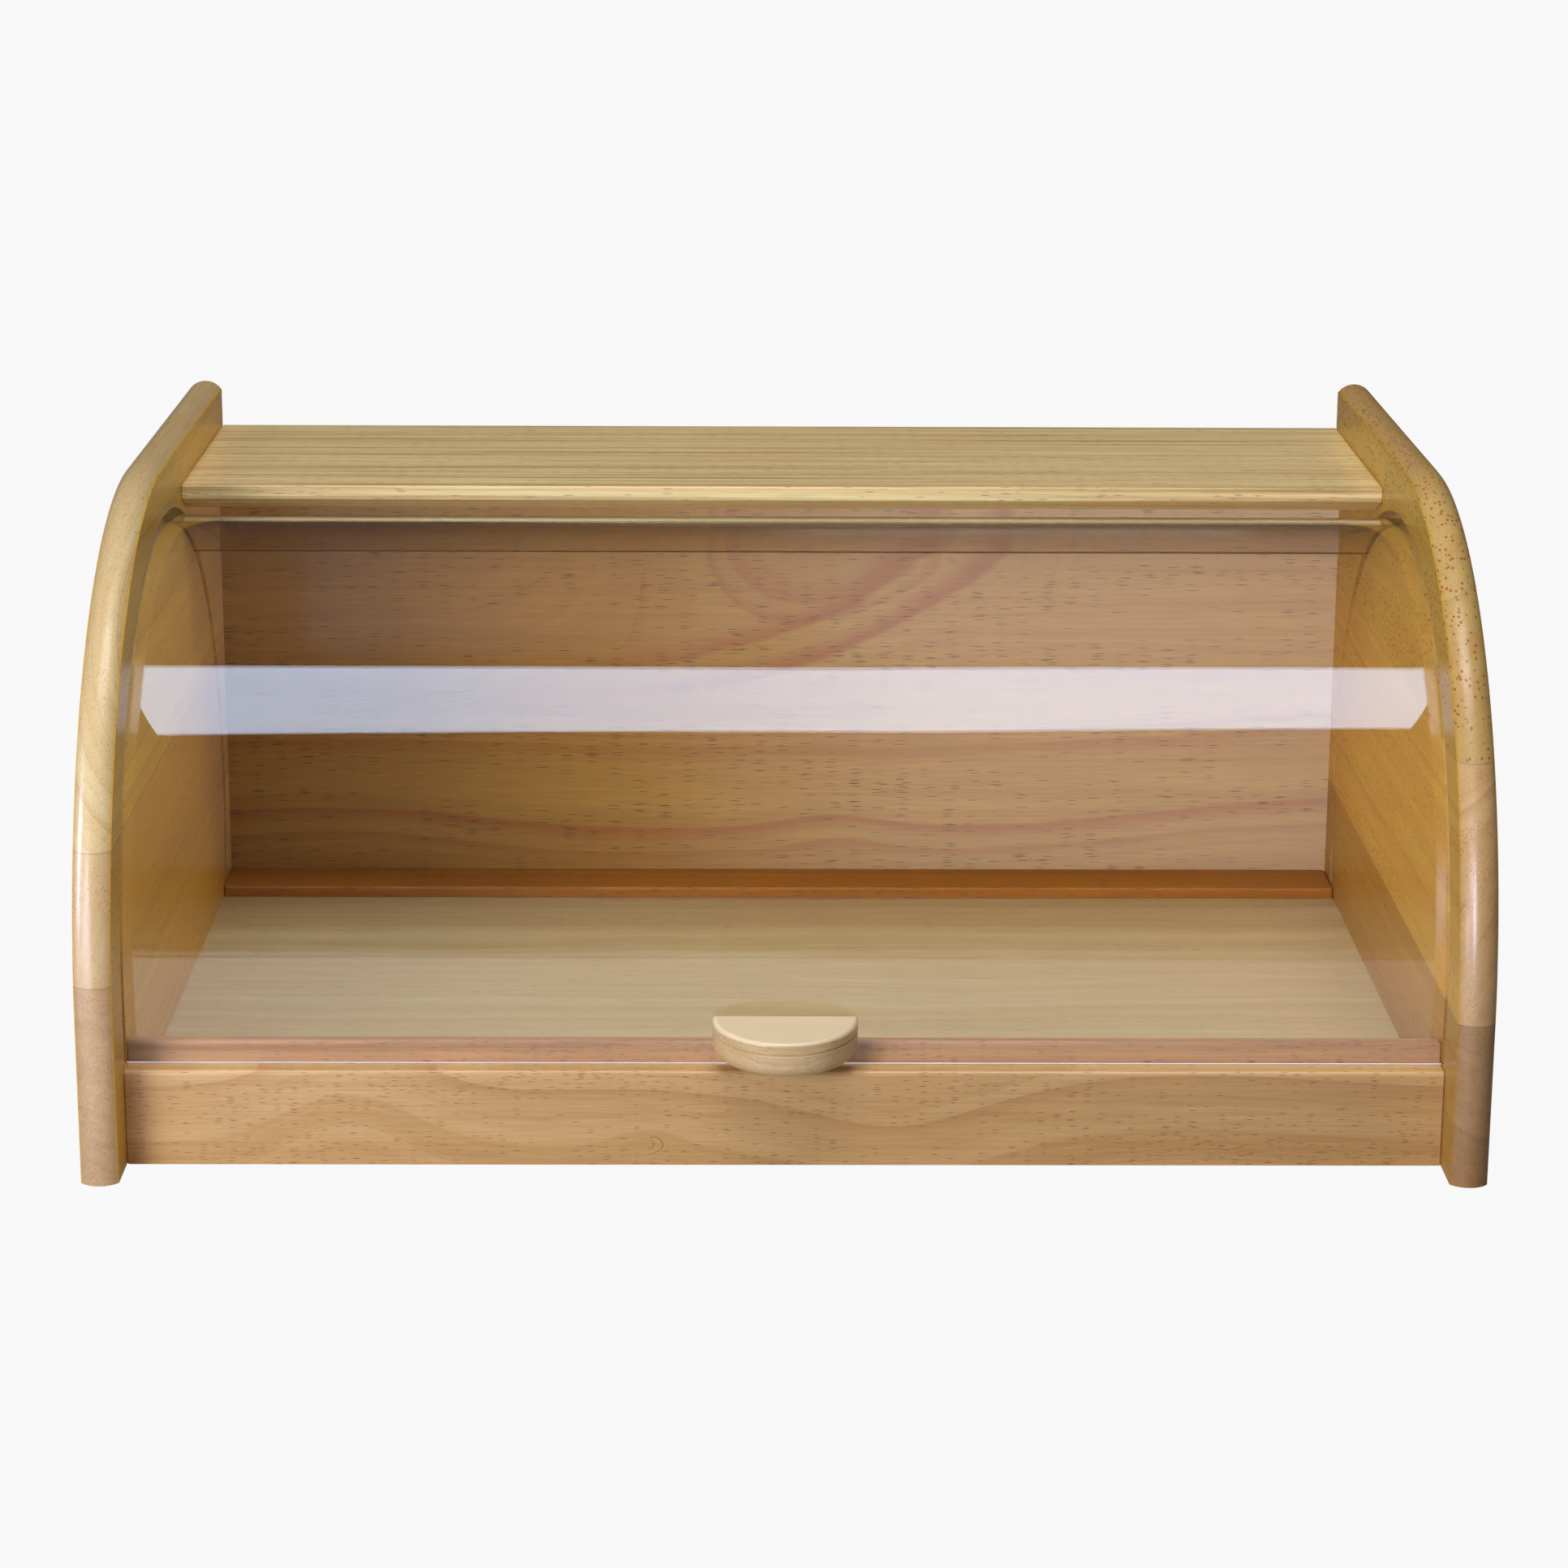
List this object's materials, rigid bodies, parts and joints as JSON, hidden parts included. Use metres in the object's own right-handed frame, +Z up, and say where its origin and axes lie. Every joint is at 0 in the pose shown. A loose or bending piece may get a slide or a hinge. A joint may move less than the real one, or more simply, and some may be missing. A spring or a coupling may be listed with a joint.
{
  "type": "roll-top bread box",
  "caption": "Wooden bread box with D-shaped side panels, a flat top, a low front rail and a clear curved roll top with a half-round wooden knob.",
  "frame": {"origin": "on the table, at the middle of the overall width and depth", "axes": "+X to the right, -Y out of the front, +Z up"},
  "size_m": [0.39, 0.275, 0.178],
  "materials": {
    "panel_wood": "satin lacquered light hardwood, glued from staves",
    "shelf_wood": "satin lacquered light hardwood",
    "rail_wood": "satin lacquered light hardwood",
    "strip_wood": "satin lacquered light hardwood",
    "rear_rail_wood": "satin lacquered light hardwood",
    "floor_ply": "satin lacquered plywood",
    "back_ply": "satin lacquered plywood",
    "dowel_wood": "raw fluted dowel",
    "knob_wood": "satin lacquered light hardwood",
    "clear_acrylic": "clear glossy sheet",
    "screw_steel": "zinc plated"
  },
  "bodies": {
    "carcass": {"left_panel_lower_stave": "panel_wood", "left_panel_middle_stave": "panel_wood", "left_panel_upper_stave": "panel_wood", "right_panel_lower_stave": "panel_wood", "right_panel_middle_stave": "panel_wood", "right_panel_upper_stave": "panel_wood", "top_shelf": "shelf_wood", "front_rail": "rail_wood", "front_inner_strip": "strip_wood", "rear_rail": "rear_rail_wood", "floor_panel": "floor_ply", "back_panel": "back_ply", "front_rail_dowels": "dowel_wood", "rear_rail_dowels": "dowel_wood", "shelf_dowels": "dowel_wood"},
    "door": {"door_sheet": "clear_acrylic", "door_knob": "knob_wood", "knob_screws": "screw_steel"}
  },
  "joints": [
    {"name": "door_roll", "type": "hinge", "parent": "carcass", "child": "door", "pos_m": [0, -0.0018, 0.0452], "axis": [-1, 0, 0], "range_deg": [0, 71.4]}
  ]
}
